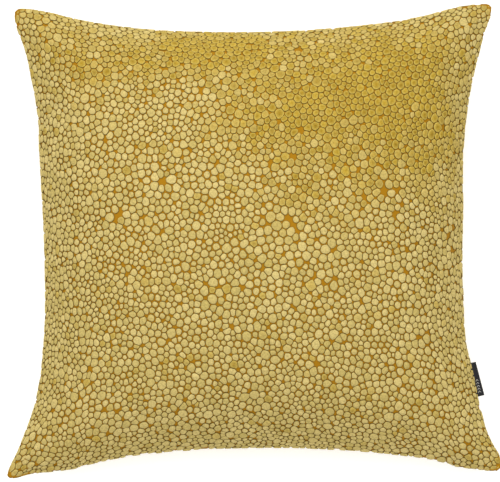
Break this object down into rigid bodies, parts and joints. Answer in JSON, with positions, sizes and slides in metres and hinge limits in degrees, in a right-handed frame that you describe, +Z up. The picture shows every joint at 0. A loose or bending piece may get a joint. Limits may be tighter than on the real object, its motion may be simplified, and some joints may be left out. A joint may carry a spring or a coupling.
{
  "type": "throw pillow",
  "caption": "Square throw pillow: a pebbled cut-velvet cover with a zip in its lower seam, filled with a removable pad.",
  "frame": {"origin": "middle of the pillow's outline, on the surface that it lies on", "axes": "+Z up out of the front panel, +X towards the side seam with the woven label, +Y towards the top edge; the zip is in the -Y seam"},
  "size_m": [0.455, 0.4392, 0.146],
  "materials": {
    "cover_velvet": "cut velvet, pale gold pebbles of pile on a flat ochre ground",
    "label_weave": null,
    "care_tape": "white satin tape",
    "sewing_thread": "ochre sewing thread",
    "zip_tape": "ochre woven tape",
    "zip_teeth": "moulded nylon, satin",
    "zip_metal": "light brass, satin",
    "pad_cloth": "white plain-weave cotton",
    "pad_fibre": "white polyester fibre",
    "pad_thread": "white overlock thread"
  },
  "bodies": {
    "cover": {"front_panel": "cover_velvet", "back_panel": "cover_velvet", "woven_label": "label_weave", "care_label": "care_tape", "top_seam_thread": "sewing_thread", "left_seam_thread": "sewing_thread", "right_seam_thread": "sewing_thread", "bottom_seam_thread": "sewing_thread", "zip_tape_front": "zip_tape", "zip_tape_back": "zip_tape", "zip_teeth_front": "zip_teeth", "zip_teeth_back": "zip_teeth", "zip_stitching_front": "sewing_thread", "zip_stitching_back": "sewing_thread", "zip_top_stops": "zip_metal", "zip_bottom_stop": "zip_metal", "pad_casing_front": "pad_cloth", "pad_casing_back": "pad_cloth", "pad_filling": "pad_fibre", "pad_seam_thread": "pad_thread"},
    "slider": {"zip_slider": "zip_metal"},
    "pull_tab": {"zip_pull_tab": "zip_metal"}
  },
  "joints": [
    {"name": "zip_travel", "type": "hinge", "parent": "cover", "child": "slider", "pos_m": [0.0116, -1.20626, 0.066], "axis": [0, 0, 1], "range_deg": [0, 17.5], "deforming": ["zip_teeth_front", "zip_teeth_back"]},
    {"name": "pull_tab_swing", "type": "hinge", "parent": "slider", "child": "pull_tab", "pos_m": [0.17142, -0.20101, 0.066], "axis": [0, 0, 1], "range_deg": [0, 150]}
  ]
}
